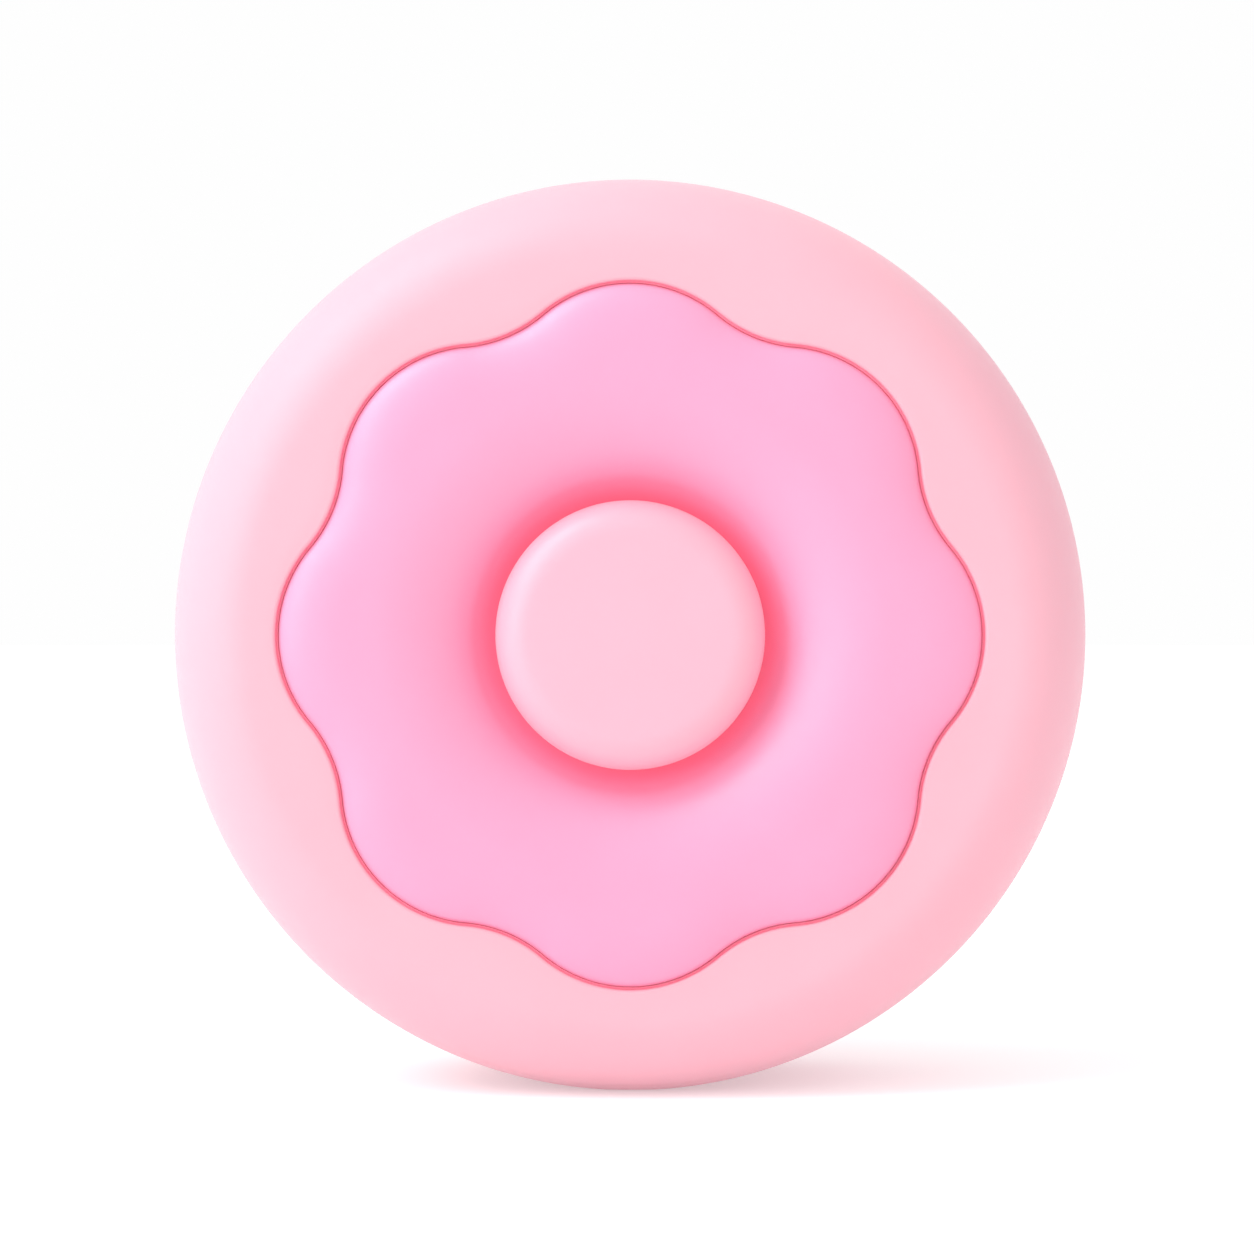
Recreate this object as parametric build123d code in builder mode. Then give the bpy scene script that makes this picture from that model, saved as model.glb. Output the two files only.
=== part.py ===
"""Doughnut-shaped silicone facial cleansing brush, standing on the flat of its rim.

A round puck with its axis along Y. The control face, with a flower-shaped icing panel
and a push button in its well, looks along -Y. The bristle face looks along +Y.
Origin: middle of the standing flat. +Z up. Millimetres.

Three measures place everything, all from the centre of the puck:
    right   along +X
    up      along +Z
    h       height towards the control face, along -Y
"""

import os
from math import atan2, cos, degrees, hypot, pi, radians, sin

from build123d import *

# ---------------------------------------------------------------- driving dimensions

BODY_R = 38.0  # outer radius of the round body
FLAT_RISE = 0.2  # depth of the flat it stands on
RIM_HALF = 6.0  # half width of the straight band round the rim
FRONT_H = 15.0  # face of the silicone ring on the control side
REAR_H = -13.5  # face that carries the bristles
ROUND_R = 7.0  # radial reach of the big roundings at the rim
SKIN_T = 2.0  # silicone thickness
HOUSING_T = 1.7  # wall of the hard core
FIT = 0.05  # gap between parts that lie on each other

LOBES = 8  # scallops of the icing panel
LOBE_TIP_R = 28.6  # seam radius at the tip of a lobe
VALLEY_R = 26.2  # seam radius between two lobes
LOBE_ARC_R = 11.0  # radius of a lobe's own arc
SEAM_GAP = 0.4  # groove between icing panel and silicone ring
PANEL_T = 1.8
CREST_H = 16.2  # top of the icing panel
CREST_R = 20.8  # where the crest turns down into the well
WELL_R = 11.25  # inner edge of the icing panel
WELL_EDGE_H = 11.8
WELL_WIDE_SHARE = 0.78  # share of the slope into the well that is its wide, convex bend
PANEL_ROUND = 1.9  # rounding of the scalloped edge
CARRIER_R = 24.3  # hard ring that the icing panel is bonded to
EDGE_ROUND = 0.3  # rounding of the seams
PAD_SEAM = 0.2  # groove round the bristle pad

BUTTON_R = 10.95
BUTTON_TOP_H = 16.5
BUTTON_ROUND = 2.8
BUTTON_WALL = 1.5
BUTTON_BOTTOM_H = 7.7
STEM_R = 2.5
GUIDE_TOP_H = 9.5  # front of the button guide
FLANGE_H = 8.7  # underside of the guide's flange
LIP_R = 8.5  # inside of the cap's lip
SPRING_R = 5.0  # return spring: mean radius of its turns
SPRING_WIRE_R = 0.25
SPRING_PITCH = 1.2
# Button seal, from foot to top: (radius, h).
BELLOWS = ((7.9, 9.55), (7.9, 10.1), (6.6, 11.2), (7.9, 12.3), (6.6, 13.4), (7.4, 14.4), (7.4, 14.97))

SPLIT_H = 2.8  # parting plane of the two core housings
WELL_FLOOR_H = 7.0
FLOOR_T = 1.6
CUP_R = 24.0  # outside of the cup under the icing panel
BOARD_H = (1.2, 2.4)  # rear and front face of the circuit board
BOARD_R = 22.5

PAD_R = 27.8  # bristle pad
BRISTLE_TIP_H = -16.5
NUB_RINGS = 3  # massage nubs: rings of 6, 12, 18 round a centre nub
NUB_PITCH = 3.2
NUB_R = 1.0
NUB_L = 2.5
BRISTLE_RINGS = 7
BRISTLE_PITCH = 2.15
BRISTLE_ROOT_R = 0.6
BRISTLE_TIP_R = 0.4
ROOT = 0.3  # depth of a bristle's root in the pad

MOTOR_UP = 11.0
MOTOR_H = -4.6
CAN_R = 4.3
CAN_SPAN = (-11.0, 7.5)  # along the shaft
SHAFT_R = 0.75
CORE_X = (-6.0, 3.0)  # rotor core, along the shaft
BUSH_R = 1.2  # shaft bearings
CAP_T = 1.6  # motor end cap
STRAP_T = 0.35  # motor strap
STRAP_SCREW_REACH = 7.6  # strap screws, from the motor's axis

BATTERY_UP = -10.0
BATTERY = (26.0, 18.0, 7.0)  # width, height, thickness
TRAY_WALL = 1.2  # wall round the cell
CONNECTOR = ((-14.8, -8.8), (-6.4, -2.8))  # limits to the right and up
CONNECTOR_H = -1.4
WIRE_R = 0.42  # wires with their insulation

SWITCH = 6.0  # side of the switch body
SWITCH_TOP_H = 5.2
PLUNGER_R = 1.65  # switch plunger
DOME = ((2.35, 2.93), (1.3, 3.75), (0, 4.02))  # switch dome, from rim to middle: (radius, h)

CONTACT_SLOT = (14.0, 5.4)  # opening for the charging contacts
CONTACT_MID = (0, 1.5)  # its middle on CROWN
SLOT_FIT = 0.2  # gap between the charging insert and the sleeve
CONTACT_SEAT_UP = 37.0  # floor of the charging seat
FLANGE_UP = (31.9, 33.1)  # flange of the charging insert
PIN_R = 1.0  # charging contacts
PIN_X = 1.9
MAGNET_R = 1.6  # locating magnets
MAGNET_X = 5.0

SCREW_RING_R = 25.5  # four housing screws
BOSS_R = 2.6
BOARD_RING_R = 20.2  # three board screws
GUIDE_RING_R = 6.9  # three button guide screws
SCREW_HEAD = 1.1  # height of a screw head
SEAL_R = 35.1  # housing seal
SEAL_WIRE_R = 0.4

# ------------------------------------------------------------------- shared geometry

CENTRE_Z = BODY_R - FLAT_RISE
AXLE = Axis((0, 0, CENTRE_Z), (0, -1, 0))
CORE_INSET = SKIN_T + FIT
INNER_INSET = CORE_INSET + HOUSING_T
FACE_H = FRONT_H - CORE_INSET  # front face of the core
BACK_H = REAR_H + CORE_INSET  # rear face of the core
INNER_REAR_H = REAR_H + INNER_INSET

# Plane across the axis: local x right, local y up, offset h.
FACE = Plane(origin=(0, 0, CENTRE_Z), x_dir=(1, 0, 0), z_dir=(0, -1, 0))
# Half sections that are revolved: local x radius, local y h.
SECTION = Plane(origin=(0, 0, CENTRE_Z), x_dir=(1, 0, 0), z_dir=(0, 0, -1))
# Plane across the motor shaft: local x up, local y h, offset right.
MOTOR = Plane(origin=(0, -MOTOR_H, CENTRE_Z + MOTOR_UP), x_dir=(0, 0, 1), z_dir=(1, 0, 0))
# Plane across the charging contacts at the top of the rim: local x right, offset up.
CROWN = Plane(origin=(0, 0, CENTRE_Z), x_dir=(1, 0, 0), z_dir=(0, 0, 1))


def at(right, up, h):
    """A point given from the centre of the puck."""
    return (right, -h, CENTRE_Z + up)


def puck_outline(inset):
    """Half section of the puck, drawn on SECTION, every wall moved in by inset."""
    round_r = ROUND_R - inset
    front, rear = FRONT_H - inset, REAR_H + inset
    arc_x = BODY_R - ROUND_R
    front_arc, rear_arc = front - RIM_HALF, -RIM_HALF - rear
    Line((0, rear), (0, front))
    Line((0, front), (arc_x, front))
    EllipticalCenterArc((arc_x, RIM_HALF), round_r, front_arc, start_angle=0, arc_size=90)
    Line((BODY_R - inset, RIM_HALF), (BODY_R - inset, -RIM_HALF))
    EllipticalCenterArc((arc_x, -RIM_HALF), round_r, rear_arc, start_angle=270, arc_size=90)
    Line((arc_x, rear), (0, rear))


def degrees_of(rise, run):
    """Angle of a slope, in degrees."""
    return degrees(atan2(rise, run))


def polar(radius, angle):
    return (radius * cos(radians(angle)), radius * sin(radians(angle)))


def flower_outline(grow):
    """Scalloped outline of tangent arcs: each lobe bulges, each valley curves back. grow widens it."""
    half = 180 / LOBES
    lobe_c = LOBE_TIP_R - LOBE_ARC_R
    # The valley arc is the one that meets the lobe arcs without a corner.
    spread = 2 * lobe_c * cos(radians(half))
    valley_arc = (LOBE_ARC_R**2 - lobe_c**2 - VALLEY_R**2 + spread * VALLEY_R) / (
        2 * VALLEY_R - spread - 2 * LOBE_ARC_R
    )
    valley_c = polar(VALLEY_R + valley_arc, half)
    reach = LOBE_ARC_R + grow
    share = reach / (LOBE_ARC_R + valley_arc)
    join = (lobe_c + (valley_c[0] - lobe_c) * share, valley_c[1] * share)
    join_r, join_angle = hypot(*join), degrees_of(join[1], join[0])
    for lobe in range(LOBES):
        turn = lobe * 2 * half
        start, end = polar(join_r, turn - join_angle), polar(join_r, turn + join_angle)
        ThreePointArc(start, polar(LOBE_TIP_R + grow, turn), end)
        ThreePointArc(end, polar(VALLEY_R + grow, turn + half), polar(join_r, turn + 2 * half - join_angle))


def box_from(right, up, h):
    """A box between limits (low, high) on each measure, as centre point and X, Y, Z sizes."""
    centre = at(sum(right) / 2, sum(up) / 2, sum(h) / 2)
    return centre, (right[1] - right[0], h[1] - h[0], up[1] - up[0])


def finish(part, name):
    part.label = name
    export_step(part, f"parts/{name}.step")


os.makedirs("parts", exist_ok=True)

# ======================================================================= soft outside


with BuildPart() as silicone_sleeve:
    with BuildSketch(SECTION):
        with BuildLine():
            puck_outline(0)
        make_face()
        with BuildLine():
            puck_outline(SKIN_T)
        make_face(mode=Mode.SUBTRACT)
        Rectangle(PAD_R + PAD_SEAM, -2 * REAR_H, align=(Align.MIN, Align.MAX), mode=Mode.SUBTRACT)
    revolve(axis=AXLE)
    with BuildSketch(FACE.offset(FRONT_H - 2 * SKIN_T)):
        with BuildLine():
            flower_outline(SEAM_GAP / 2)
        make_face()
    extrude(amount=FRONT_H, mode=Mode.SUBTRACT)
    window_edge = edges().filter_by_position(Axis.Y, -FRONT_H - FIT, -FRONT_H + FIT)
    fillet([e for e in window_edge if e.length < 2 * PAD_R], EDGE_ROUND)
    with Locations((0, 0, -BODY_R)):
        Box(2 * BODY_R, 2 * BODY_R, 2 * BODY_R, mode=Mode.SUBTRACT)
    with BuildSketch(CROWN.offset(BODY_R - 2 * SKIN_T)):
        with Locations(CONTACT_MID):
            SlotOverall(CONTACT_SLOT[0] + 2 * SLOT_FIT, CONTACT_SLOT[1] + 2 * SLOT_FIT)
    extrude(amount=3 * SKIN_T, mode=Mode.SUBTRACT)
finish(silicone_sleeve.part, "silicone_sleeve")


def nub_points():
    points = [(0.0, 0.0)]
    for ring in range(1, NUB_RINGS + 1):
        points += [polar(ring * NUB_PITCH, step * 60 / ring) for step in range(6 * ring)]
    return points


def bristle_points():
    points = []
    first = (NUB_RINGS + 0.85) * NUB_PITCH
    for ring in range(BRISTLE_RINGS):
        radius = first + ring * BRISTLE_PITCH
        count = round(2 * pi * radius / BRISTLE_PITCH)
        points += [polar(radius, (step + ring % 2 / 2) * 360 / count) for step in range(count)]
    return points


with BuildPart() as brush_pad:
    with BuildSketch(FACE.offset(REAR_H)):
        Circle(PAD_R)
    extrude(amount=SKIN_T)
    rim_edge = edges().filter_by(GeomType.CIRCLE).sort_by(Axis.Y)[-1]
    fillet(rim_edge, EDGE_ROUND)
    for places, root_r, tip_r, length in (
        (nub_points(), NUB_R, NUB_R * 0.7, NUB_L),
        (bristle_points(), BRISTLE_ROOT_R, BRISTLE_TIP_R, REAR_H - BRISTLE_TIP_H),
    ):
        with Locations(*[Location(at(x, z, REAR_H + ROOT), (-90, 0, 0)) for x, z in places]):
            Cone(root_r, tip_r, length + ROOT, align=(Align.CENTER, Align.CENTER, Align.MIN))
finish(brush_pad.part, "brush_pad")

PANEL_SEAT_H = FACE_H + FIT


WELL_TURN = 2 * degrees_of(CREST_H - WELL_EDGE_H, CREST_R - WELL_R)
WELL_WIDE_R = WELL_WIDE_SHARE * (CREST_R - WELL_R) / sin(radians(WELL_TURN))
WELL_TIGHT_R = (CREST_R - WELL_R) / sin(radians(WELL_TURN)) - WELL_WIDE_R


def under_slope(inset, floor_h):
    """Outline of what lies under the slope into the well: a wide and a tight bend, moved down."""
    bottom, top = WELL_EDGE_H - inset, CREST_H - inset
    CenterArc((CREST_R, CREST_H - WELL_WIDE_R), WELL_WIDE_R - inset, 90, WELL_TURN)
    CenterArc((WELL_R, WELL_EDGE_H + WELL_TIGHT_R), WELL_TIGHT_R + inset, 270, WELL_TURN)
    Polyline((WELL_R, bottom), (WELL_R, floor_h), (CREST_R, floor_h), (CREST_R, top))


def well_skin(outer, inner, floor_h):
    """Half section between two insets of the slope, with a straight skirt down to floor_h."""
    with BuildLine() as upper:
        under_slope(outer, floor_h)
    make_face(upper.edges())
    with BuildLine() as lower:
        under_slope(inner, floor_h)
    make_face(lower.edges(), mode=Mode.SUBTRACT)
    with Locations((WELL_R, floor_h)):
        Rectangle(inner, WELL_EDGE_H - inner + 1.2 - floor_h, align=(Align.MIN, Align.MIN))
        if outer > 0:
            Rectangle(outer, WELL_EDGE_H, align=(Align.MIN, Align.MIN), mode=Mode.SUBTRACT)


with BuildPart() as icing_panel:
    with BuildSketch(FACE.offset(PANEL_SEAT_H)):
        with BuildLine():
            flower_outline(-SEAM_GAP / 2)
        make_face()
    extrude(amount=CREST_H - PANEL_SEAT_H)
    fillet(edges().filter_by_position(Axis.Y, -CREST_H - FIT, -CREST_H + FIT), PANEL_ROUND)
    with BuildSketch(FACE.offset(PANEL_SEAT_H)):
        Circle(CREST_R)
    extrude(amount=CREST_H, mode=Mode.SUBTRACT)
    with BuildSketch(FACE.offset(PANEL_SEAT_H)):
        Circle(CARRIER_R + FIT)
    extrude(amount=CREST_H - PANEL_T - PANEL_SEAT_H, mode=Mode.SUBTRACT)
    with BuildSketch(SECTION) as section:
        well_skin(0, PANEL_T, WELL_FLOOR_H + FIT)
    revolve(section.sketch, axis=AXLE)
finish(icing_panel.part, "icing_panel")

with BuildPart() as panel_carrier:
    with BuildSketch(SECTION):
        well_skin(PANEL_T + FIT, PANEL_T + 1.4, WELL_FLOOR_H + FIT)
        with Locations((CREST_R - FIT, CREST_H - PANEL_T - FIT)):
            Rectangle(
                CARRIER_R - CREST_R + FIT,
                CREST_H - PANEL_T - PANEL_SEAT_H - FIT,
                align=(Align.MIN, Align.MAX),
            )
    revolve(axis=AXLE)
finish(panel_carrier.part, "panel_carrier")

# ============================================================================= button

CAP_INSIDE_H = BUTTON_TOP_H - BUTTON_WALL
STEM_END_H = 5.85
BORE_R = STEM_R + 0.06

with BuildPart() as button_cap:
    with BuildSketch(FACE.offset(BUTTON_BOTTOM_H)):
        Circle(BUTTON_R)
    extrude(amount=BUTTON_TOP_H - BUTTON_BOTTOM_H)
    fillet(edges().filter_by(GeomType.CIRCLE).sort_by(Axis.Y)[0], BUTTON_ROUND)
    with BuildSketch(FACE.offset(BUTTON_BOTTOM_H)):
        Circle(LIP_R)
    extrude(amount=1, mode=Mode.SUBTRACT)
    with BuildSketch(FACE.offset(FLANGE_H - 0.1)):
        Circle(BUTTON_R - BUTTON_WALL)
    extrude(amount=CAP_INSIDE_H - 1.6 - FLANGE_H + 0.1, mode=Mode.SUBTRACT)
    with BuildSketch(FACE.offset(CAP_INSIDE_H - 1.7)):
        Circle(BUTTON_R - BUTTON_WALL - 1.2)
    extrude(amount=1.7, mode=Mode.SUBTRACT)
    with BuildSketch(FACE.offset(STEM_END_H)):
        Circle(STEM_R)
    extrude(amount=CAP_INSIDE_H + 0.1 - STEM_END_H)
finish(button_cap.part, "button_cap")

with BuildPart() as button_guide:
    with BuildSketch(SECTION):
        with Locations((BORE_R, WELL_FLOOR_H)):
            Rectangle(LIP_R - 0.3 - BORE_R, GUIDE_TOP_H - WELL_FLOOR_H, align=(Align.MIN, Align.MIN))
        with Locations((BORE_R, FLANGE_H)):
            Rectangle(9.1 - BORE_R, GUIDE_TOP_H - FLANGE_H, align=(Align.MIN, Align.MIN))
        with Locations((BORE_R, GUIDE_TOP_H)):
            Rectangle(1.2, 2.2, align=(Align.MIN, Align.MIN))
    revolve(axis=AXLE)
    with BuildSketch(FACE.offset(WELL_FLOOR_H)):
        with PolarLocations(GUIDE_RING_R, 3, start_angle=90):
            Circle(0.8)
    extrude(amount=1.9, mode=Mode.SUBTRACT)
finish(button_guide.part, "button_guide")

SPRING_ENDS = (GUIDE_TOP_H + SPRING_WIRE_R + 0.03, CAP_INSIDE_H - SPRING_WIRE_R - 0.03)

with BuildPart() as button_spring:
    with BuildLine():
        coil = Helix(
            SPRING_PITCH,
            SPRING_ENDS[1] - SPRING_ENDS[0],
            SPRING_R,
            center=at(0, 0, SPRING_ENDS[0]),
            direction=(0, -1, 0),
        )
    with BuildSketch(Plane(origin=coil @ 0, z_dir=coil % 0)):
        Circle(SPRING_WIRE_R)
    sweep(path=coil)
finish(button_spring.part, "button_spring")


with BuildPart() as button_seal:
    with BuildSketch(SECTION):
        with BuildLine():
            Polyline(*BELLOWS, *[(r - 0.5, h) for r, h in reversed(BELLOWS)], close=True)
        make_face()
    revolve(axis=AXLE)
finish(button_seal.part, "button_seal")


def screws(places, plane, head_r, head_t, shank_r, length, name):
    """Pan head screws with a cross recess, heads standing on the plane, shanks along its normal."""
    with BuildPart() as group:
        with BuildSketch(plane):
            with Locations(*places):
                Circle(shank_r)
        extrude(amount=length)
        with BuildSketch(plane):
            with Locations(*places):
                Circle(head_r)
        extrude(amount=-head_t)
        with BuildSketch(plane.offset(-head_t)):
            with Locations(*places):
                Rectangle(1.4 * head_r, 0.25 * head_r)
                Rectangle(0.25 * head_r, 1.4 * head_r)
        extrude(amount=0.45 * head_t, mode=Mode.SUBTRACT)
    finish(group.part, name)


GUIDE_SCREWS = [polar(GUIDE_RING_R, angle) for angle in (90, 210, 330)]
BOARD_SCREWS = [polar(BOARD_RING_R, angle) for angle in (30, 150, 270)]
HOUSING_SCREWS = [polar(SCREW_RING_R, angle) for angle in (45, 135, 225, 315)]
screws(GUIDE_SCREWS, FACE.offset(WELL_FLOOR_H - FLOOR_T - 0.02), 1.35, 0.9, 0.76, 3.1, "guide_screws")
screws(BOARD_SCREWS, FACE.offset(BOARD_H[0] - 0.02), 1.5, 0.9, 0.76, 5.0, "board_screws")
screws(HOUSING_SCREWS, FACE.offset(BACK_H + 1.26), 1.9, SCREW_HEAD, 0.96, 18.0, "housing_screws")

# ========================================================================== hard core


with BuildPart() as front_housing:
    with BuildSketch(SECTION):
        with BuildLine():
            puck_outline(CORE_INSET)
        make_face()
        with BuildLine():
            puck_outline(INNER_INSET)
        make_face(mode=Mode.SUBTRACT)
        with Locations((0, WELL_FLOOR_H - FLOOR_T)):
            Rectangle(CUP_R, FACE_H - WELL_FLOOR_H + FLOOR_T, align=(Align.MIN, Align.MIN))
        with Locations((0, WELL_FLOOR_H)):
            Rectangle(CUP_R - HOUSING_T, FACE_H, align=(Align.MIN, Align.MIN), mode=Mode.SUBTRACT)
        with Locations((0, 0)):
            Rectangle(STEM_R + 0.5, FACE_H, align=(Align.MIN, Align.MIN), mode=Mode.SUBTRACT)
        with Locations((0, SPLIT_H)):
            Rectangle(BODY_R, 2 * BODY_R, align=(Align.MIN, Align.MAX), mode=Mode.SUBTRACT)
    revolve(axis=AXLE)
    with BuildSketch(FACE.offset(SPLIT_H)):
        with Locations(*HOUSING_SCREWS):
            Circle(BOSS_R)
    extrude(amount=FACE_H - 0.5 - SPLIT_H)
    with BuildSketch(FACE.offset(BOARD_H[1])):
        with Locations(*BOARD_SCREWS):
            Circle(2.0)
    extrude(amount=6)
    with BuildSketch(FACE.offset(BOARD_H[1])):
        with Locations(*BOARD_SCREWS):
            Circle(0.8)
    extrude(amount=5, mode=Mode.SUBTRACT)
    with BuildSketch(FACE.offset(SPLIT_H)):
        with Locations(*HOUSING_SCREWS):
            Circle(1.0)
    extrude(amount=8, mode=Mode.SUBTRACT)
    with BuildSketch(FACE.offset(WELL_FLOOR_H - FLOOR_T)):
        with Locations(*GUIDE_SCREWS):
            Circle(0.8)
    extrude(amount=FLOOR_T, mode=Mode.SUBTRACT)
finish(front_housing.part, "front_housing")

CRADLE = CAN_R + 0.6  # channel for the rubber-sleeved motor
BATTERY_H = (INNER_REAR_H + 0.55, INNER_REAR_H + 0.55 + BATTERY[2])
BATTERY_X = (-BATTERY[0] / 2, BATTERY[0] / 2)
BATTERY_Z = (BATTERY_UP - BATTERY[1] / 2, BATTERY_UP + BATTERY[1] / 2)

with BuildPart() as rear_housing:
    with BuildSketch(SECTION):
        with BuildLine():
            puck_outline(CORE_INSET)
        make_face()
        with BuildLine():
            puck_outline(INNER_INSET)
        make_face(mode=Mode.SUBTRACT)
        with Locations((0, SPLIT_H)):
            Rectangle(BODY_R, 2 * BODY_R, align=(Align.MIN, Align.MIN), mode=Mode.SUBTRACT)
        with Locations((SEAL_R, SPLIT_H)):
            Rectangle(0.9, 0.84, align=(Align.CENTER, Align.MAX), mode=Mode.SUBTRACT)
    revolve(axis=AXLE)
    with BuildSketch(FACE.offset(BACK_H + 0.5)):
        with Locations(*HOUSING_SCREWS):
            Circle(BOSS_R)
    extrude(amount=SPLIT_H - BACK_H - 0.5)
    with BuildSketch(FACE.offset(BACK_H)):
        with Locations(*HOUSING_SCREWS):
            Circle(1.1)
    extrude(amount=SPLIT_H - BACK_H, mode=Mode.SUBTRACT)
    with BuildSketch(FACE.offset(BACK_H)):
        with Locations(*HOUSING_SCREWS):
            Circle(2.1)
    extrude(amount=1.28, mode=Mode.SUBTRACT)
    # Motor cradle: a block with a round channel, open towards the board.
    centre, size = box_from(
        (CAN_SPAN[0] + 1, CAN_SPAN[1] - 1),
        (MOTOR_UP - CRADLE - 1, MOTOR_UP + CRADLE + 1),
        (INNER_REAR_H - 0.5, MOTOR_H),
    )
    with Locations(centre):
        Box(*size)
    with BuildSketch(MOTOR.offset(CAN_SPAN[0])):
        Circle(CRADLE)
    extrude(amount=CAN_SPAN[1] - CAN_SPAN[0], mode=Mode.SUBTRACT)
    strap_posts = [(0, MOTOR_UP + STRAP_SCREW_REACH), (0, MOTOR_UP - STRAP_SCREW_REACH)]
    with BuildSketch(FACE.offset(INNER_REAR_H - 0.5)):
        with Locations(*strap_posts):
            Circle(2.0)
    extrude(amount=MOTOR_H - INNER_REAR_H + 0.5)
    with BuildSketch(FACE.offset(MOTOR_H)):
        with Locations(*strap_posts):
            Circle(0.8)
    extrude(amount=-4, mode=Mode.SUBTRACT)
    # Tray walls round the cell.
    for side in (-1, 1):
        wall = sorted((side * (BATTERY_X[1] + 0.3), side * (BATTERY_X[1] + 0.3 + TRAY_WALL)))
        centre, size = box_from(wall, (BATTERY_Z[0] + 3, BATTERY_Z[1] - 3), (INNER_REAR_H - 0.5, -4))
        with Locations(centre):
            Box(*size)
    centre, size = box_from(
        (-8, 8), (BATTERY_Z[0] - 0.3 - TRAY_WALL, BATTERY_Z[0] - 0.3), (INNER_REAR_H - 0.5, -4)
    )
    with Locations(centre):
        Box(*size)
    with BuildSketch(CROWN.offset(FLANGE_UP[1])):
        with Locations(CONTACT_MID):
            SlotOverall(CONTACT_SLOT[0] + 0.1, CONTACT_SLOT[1] + 0.1)
    extrude(amount=6, mode=Mode.SUBTRACT)
finish(rear_housing.part, "rear_housing")

with BuildPart() as housing_seal:
    with BuildSketch(SECTION):
        with Locations((SEAL_R, SPLIT_H - 0.02 - SEAL_WIRE_R)):
            Circle(SEAL_WIRE_R)
    revolve(axis=AXLE)
finish(housing_seal.part, "housing_seal")

# ======================================================================= charging


with BuildPart() as contact_insert:
    with BuildSketch(CROWN.offset(FLANGE_UP[0])):
        with Locations(CONTACT_MID):
            SlotOverall(*CONTACT_SLOT)
    extrude(amount=CONTACT_SEAT_UP - FLANGE_UP[0])
    fillet(faces().sort_by(Axis.Z)[-1].edges(), 0.3)
    with BuildSketch(CROWN.offset(FLANGE_UP[0])):
        with Locations(CONTACT_MID):
            SlotOverall(CONTACT_SLOT[0] + 2.2, CONTACT_SLOT[1] + 2.0)
    extrude(amount=FLANGE_UP[1] - FLANGE_UP[0])
    with BuildSketch(CROWN.offset(FLANGE_UP[0])):
        with Locations(*[(x, CONTACT_MID[1]) for x in (-PIN_X, PIN_X)]):
            Circle(PIN_R + 0.01)
    extrude(amount=CONTACT_SEAT_UP - FLANGE_UP[0], mode=Mode.SUBTRACT)
    with BuildSketch(CROWN.offset(FLANGE_UP[0])):
        with Locations(*[(x, CONTACT_MID[1]) for x in (-MAGNET_X, MAGNET_X)]):
            Circle(MAGNET_R + 0.02)
    extrude(amount=4.4, mode=Mode.SUBTRACT)
finish(contact_insert.part, "contact_insert")

with BuildPart() as contact_seal:
    with BuildSketch(CROWN.offset(FLANGE_UP[1] + 0.02)):
        with Locations(CONTACT_MID):
            SlotOverall(CONTACT_SLOT[0] + 2.2, CONTACT_SLOT[1] + 2.0)
            SlotOverall(CONTACT_SLOT[0] + 0.1, CONTACT_SLOT[1] + 0.1, mode=Mode.SUBTRACT)
    extrude(amount=3)
    with BuildSketch(SECTION):
        with BuildLine():
            puck_outline(INNER_INSET + 0.03)
        make_face()
    revolve(axis=AXLE, mode=Mode.INTERSECT)
finish(contact_seal.part, "contact_seal")

with BuildPart() as charge_contacts:
    with BuildSketch(CROWN.offset(FLANGE_UP[0] - 1.1)):
        with Locations(*[(x, CONTACT_MID[1]) for x in (-PIN_X, PIN_X)]):
            Circle(PIN_R)
    extrude(amount=CONTACT_SEAT_UP - FLANGE_UP[0] + 1.1)
finish(charge_contacts.part, "charge_contacts")

with BuildPart() as charge_magnets:
    with BuildSketch(CROWN.offset(FLANGE_UP[0] + 2.3)):
        with Locations(*[(x, CONTACT_MID[1]) for x in (-MAGNET_X, MAGNET_X)]):
            Circle(MAGNET_R)
    extrude(amount=2.0)
finish(charge_magnets.part, "charge_magnets")

# ==================================================================== circuit board


with BuildPart() as circuit_board:
    with BuildSketch(FACE.offset(BOARD_H[0])):
        Circle(BOARD_R)
        with Locations(*BOARD_SCREWS):
            Circle(0.85, mode=Mode.SUBTRACT)
    extrude(amount=BOARD_H[1] - BOARD_H[0])
finish(circuit_board.part, "circuit_board")

with BuildPart() as switch_body:
    with BuildSketch(FACE.offset(BOARD_H[1])):
        RectangleRounded(SWITCH, SWITCH, 0.5)
    extrude(amount=SWITCH_TOP_H - BOARD_H[1])
    with BuildSketch(FACE.offset(BOARD_H[1] + 0.5)):
        Circle(2.45)
    extrude(amount=SWITCH_TOP_H - BOARD_H[1] - 1.0, mode=Mode.SUBTRACT)
    with BuildSketch(FACE.offset(SWITCH_TOP_H - 0.6)):
        Circle(PLUNGER_R + 0.05)
    extrude(amount=1, mode=Mode.SUBTRACT)
finish(switch_body.part, "switch_body")

with BuildPart() as switch_plunger:
    with BuildSketch(FACE.offset(SWITCH_TOP_H - 1.1)):
        Circle(2.2)
    extrude(amount=0.55)
    with BuildSketch(FACE.offset(SWITCH_TOP_H - 0.6)):
        Circle(PLUNGER_R)
    extrude(amount=STEM_END_H - 0.02 - SWITCH_TOP_H + 0.6)
finish(switch_plunger.part, "switch_plunger")


with BuildPart() as switch_dome:
    with BuildSketch(SECTION):
        with BuildLine():
            Spline(*DOME)
            Line((0, DOME[2][1]), (0, DOME[2][1] - 0.15))
            Spline(*[(r, h - 0.15) for r, h in DOME[::-1][:2]], (2.2, 2.93))
            Line((2.2, 2.93), DOME[0])
        make_face()
    revolve(axis=AXLE)
finish(switch_dome.part, "switch_dome")


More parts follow.
